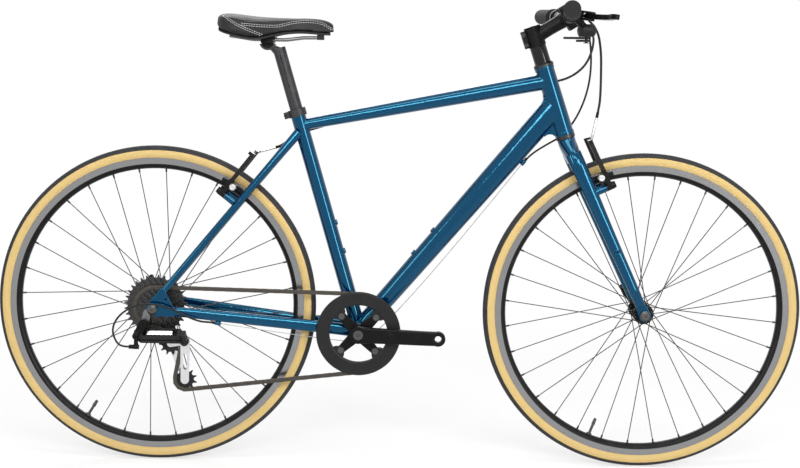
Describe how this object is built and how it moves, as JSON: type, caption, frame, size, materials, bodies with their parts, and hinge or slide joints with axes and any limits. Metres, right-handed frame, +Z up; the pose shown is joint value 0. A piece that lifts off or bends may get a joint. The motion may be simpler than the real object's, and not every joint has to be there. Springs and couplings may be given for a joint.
{
  "type": "hybrid bicycle",
  "caption": "Flat-bar hybrid bicycle with a diamond frame, rim brakes, a single guarded chainring, a rear derailleur and a padded saddle.",
  "frame": {"origin": "on the ground midway between the two axles", "axes": "+X forward, +Y to the rider's left, +Z up"},
  "size_m": [1.733, 0.6298, 0.9999],
  "materials": {
    "blue_paint": "gloss",
    "black_alloy": "satin black",
    "raw_alloy": "machined",
    "steel": "satin",
    "dark_steel": "satin",
    "black_plastic": "matte",
    "gloss_black": "gloss",
    "tyre_rubber": "matte tread, tan sides",
    "tube_rubber": "matte",
    "grip_rubber": "matte",
    "saddle_leather": "matte"
  },
  "bodies": {
    "frame": {"frame": "blue_paint", "derailleur_hanger": "raw_alloy", "headset_bearings": "steel", "bottom_bracket_cartridge": "steel", "rear_axle": "steel", "seat_collar": "black_alloy", "derailleur_b_knuckle": "black_alloy", "frame_cables": "black_plastic", "chain": "steel"},
    "front_end": {"fork": "blue_paint", "headset_spacers": "gloss_black", "stem": "black_alloy", "stem_faceplate": "black_alloy", "stem_bolts": "dark_steel", "stem_cap": "black_alloy", "handlebar": "black_alloy", "grips": "grip_rubber", "brake_lever_brackets": "black_alloy", "shifter_body": "black_plastic", "front_axle": "steel", "handlebar_cables": "black_plastic"},
    "front_wheel": {"front_tyre": "tyre_rubber", "front_inner_tube": "tube_rubber", "front_rim": "black_alloy", "front_spokes": "dark_steel", "front_hub": "black_alloy"},
    "rear_wheel": {"rear_tyre": "tyre_rubber", "rear_inner_tube": "tube_rubber", "rear_rim": "black_alloy", "rear_spokes": "dark_steel", "rear_hub": "black_alloy"},
    "cassette": {"cassette": "dark_steel", "freehub_body": "steel"},
    "crankset": {"crank_spindle": "steel", "crank_right": "black_alloy", "crank_left": "black_alloy", "chainring": "dark_steel", "chain_guard": "black_plastic", "crankset_bolts": "dark_steel"},
    "saddle": {"saddle_clamp": "steel", "saddle_rails": "steel", "saddle_base": "black_plastic", "saddle_cover": "saddle_leather"},
    "brake_lever_left": {"brake_lever_left": "black_alloy"},
    "brake_lever_right": {"brake_lever_right": "black_alloy"},
    "derailleur_cage": {"derailleur_cage": "steel"},
    "derailleur_inner_link": {"derailleur_inner_link": "black_alloy"},
    "derailleur_outer_link": {"derailleur_outer_link": "raw_alloy"},
    "derailleur_p_knuckle": {"derailleur_p_knuckle": "black_plastic"},
    "front_brake_arm_left": {"front_brake_arm_left": "black_alloy"},
    "front_brake_arm_right": {"front_brake_arm_right": "black_alloy"},
    "front_qr_lever": {"front_qr_lever": "black_alloy"},
    "guide_pulley": {"guide_pulley": "black_plastic"},
    "rear_brake_arm_left": {"rear_brake_arm_left": "black_alloy"},
    "rear_brake_arm_right": {"rear_brake_arm_right": "black_alloy"},
    "rear_qr_lever": {"rear_qr_lever": "black_alloy"},
    "seatpost": {"seatpost": "black_alloy"},
    "shift_release_lever": {"shift_release_lever": "black_plastic"},
    "shift_thumb_lever": {"shift_thumb_lever": "black_plastic"},
    "tension_pulley": {"tension_pulley": "black_plastic"}
  },
  "joints": [
    {"name": "steering", "type": "hinge", "parent": "frame", "child": "front_end", "pos_m": [0.3475, 0, 0.72261], "axis": [-0.3206, 0, 0.9472], "range_deg": [-60, 60], "deforming": ["handlebar_cables"]},
    {"name": "front_wheel_spin", "type": "hinge", "parent": "front_end", "child": "front_wheel", "pos_m": [0.5235, 0, 0.343], "axis": [0, 1, 0], "continuous": true},
    {"name": "rear_wheel_spin", "type": "hinge", "parent": "frame", "child": "rear_wheel", "pos_m": [-0.5235, 0, 0.343], "axis": [0, 1, 0], "continuous": true},
    {"name": "crank_spin", "type": "hinge", "parent": "frame", "child": "crankset", "pos_m": [-0.08685, 0, 0.293], "axis": [0, 1, 0], "continuous": true, "deforming": ["chain"]},
    {"name": "cassette_spin", "type": "hinge", "parent": "frame", "child": "cassette", "pos_m": [-0.5235, 0, 0.343], "axis": [0, 1, 0], "continuous": true},
    {"name": "brake_lever_right", "type": "hinge", "parent": "front_end", "child": "brake_lever_right", "pos_m": [0.37316, -0.16212, 0.96963], "axis": [-0.1383, -0.0103, -0.9903], "range_deg": [0, 22], "stiffness_Nm_per_rad": 0.6, "springref_deg": -5.73, "deforming": ["handlebar_cables"]},
    {"name": "front_brake_arm_right", "type": "hinge", "parent": "front_end", "child": "front_brake_arm_right", "pos_m": [0.44176, -0.04, 0.61733], "axis": [-0.9046, 0, -0.4263], "range_deg": [0, 4]},
    {"name": "front_brake_arm_left", "type": "hinge", "parent": "front_end", "child": "front_brake_arm_left", "pos_m": [0.44176, 0.04, 0.61733], "axis": [0.9046, 0, 0.4263], "range_deg": [0, 4]},
    {"name": "brake_lever_left", "type": "hinge", "parent": "front_end", "child": "brake_lever_left", "pos_m": [0.37316, 0.16212, 0.96963], "axis": [0.1383, -0.0103, 0.9903], "range_deg": [0, 22], "stiffness_Nm_per_rad": 0.6, "springref_deg": -5.73, "deforming": ["handlebar_cables", "frame_cables"]},
    {"name": "rear_brake_arm_right", "type": "hinge", "parent": "frame", "child": "rear_brake_arm_right", "pos_m": [-0.37966, -0.04, 0.59014], "axis": [-0.7832, 0, 0.6217], "range_deg": [0, 4]},
    {"name": "rear_brake_arm_left", "type": "hinge", "parent": "frame", "child": "rear_brake_arm_left", "pos_m": [-0.37966, 0.04, 0.59014], "axis": [0.7832, 0, -0.6217], "range_deg": [0, 4]},
    {"name": "shift_thumb_lever", "type": "hinge", "parent": "front_end", "child": "shift_thumb_lever", "pos_m": [0.37093, -0.12996, 0.92929], "axis": [0, 0, -1], "range_deg": [0, 30], "stiffness_Nm_per_rad": 0.2},
    {"name": "shift_release_lever", "type": "hinge", "parent": "front_end", "child": "shift_release_lever", "pos_m": [0.37093, -0.12996, 0.92929], "axis": [0, 0, -1], "range_deg": [0, 15], "stiffness_Nm_per_rad": 0.2},
    {"name": "derailleur_outer_link", "type": "hinge", "parent": "frame", "child": "derailleur_outer_link", "pos_m": [-0.546, -0.08013, 0.29114], "axis": [0, 0.6428, 0.766], "range_deg": [-18.5, 13.7], "deforming": ["chain", "frame_cables"]},
    {"name": "derailleur_inner_link", "type": "hinge", "parent": "frame", "child": "derailleur_inner_link", "pos_m": [-0.546, -0.06787, 0.28086], "axis": [0, 0.6428, 0.766], "range_deg": [-18.5, 13.7]},
    {"name": "derailleur_p_knuckle", "type": "hinge", "parent": "derailleur_outer_link", "child": "derailleur_p_knuckle", "pos_m": [-0.467, -0.08013, 0.29114], "axis": [0, 0.6428, 0.766], "range_deg": [-13.7, 18.5]},
    {"name": "derailleur_cage", "type": "hinge", "parent": "derailleur_p_knuckle", "child": "derailleur_cage", "pos_m": [-0.458, -0.043, 0.271], "axis": [0, -1, 0], "range_deg": [-10, 35], "deforming": ["chain"]},
    {"name": "guide_pulley_spin", "type": "hinge", "parent": "derailleur_cage", "child": "guide_pulley", "pos_m": [-0.48969, -0.043, 0.26416], "axis": [0, 1, 0], "continuous": true},
    {"name": "tension_pulley_spin", "type": "hinge", "parent": "derailleur_cage", "child": "tension_pulley", "pos_m": [-0.45872, -0.043, 0.18576], "axis": [0, 1, 0], "continuous": true},
    {"name": "front_qr_lever", "type": "hinge", "parent": "front_end", "child": "front_qr_lever", "pos_m": [0.5235, 0.0684, 0.343], "axis": [-0.8, 0, -0.6], "range_deg": [0, 160]},
    {"name": "rear_qr_lever", "type": "hinge", "parent": "frame", "child": "rear_qr_lever", "pos_m": [-0.5235, 0.0859, 0.343], "axis": [-0.8, 0, -0.6], "range_deg": [0, 160]},
    {"name": "seatpost_slide", "type": "slide", "parent": "frame", "child": "seatpost", "axis": [-0.2823, 0, 0.9593], "range_m": [-0.09, 0.06]},
    {"name": "saddle_tilt", "type": "hinge", "parent": "seatpost", "child": "saddle", "pos_m": [-0.2877, 0, 0.90885], "axis": [0, 1, 0], "range_deg": [-10, 10]}
  ],
  "couplings": [
    {"joint": "cassette_spin", "follows": "crank_spin", "ratio": 2},
    {"joint": "guide_pulley_spin", "follows": "crank_spin", "ratio": -3.8182},
    {"joint": "tension_pulley_spin", "follows": "crank_spin", "ratio": 3.8182},
    {"joint": "derailleur_inner_link", "follows": "derailleur_outer_link", "ratio": 1},
    {"joint": "derailleur_p_knuckle", "follows": "derailleur_outer_link", "ratio": -1},
    {"joint": "front_brake_arm_right", "follows": "brake_lever_right", "ratio": 0.18182},
    {"joint": "front_brake_arm_left", "follows": "brake_lever_right", "ratio": 0.18182},
    {"joint": "rear_brake_arm_right", "follows": "brake_lever_left", "ratio": 0.18182},
    {"joint": "rear_brake_arm_left", "follows": "brake_lever_left", "ratio": 0.18182}
  ]
}
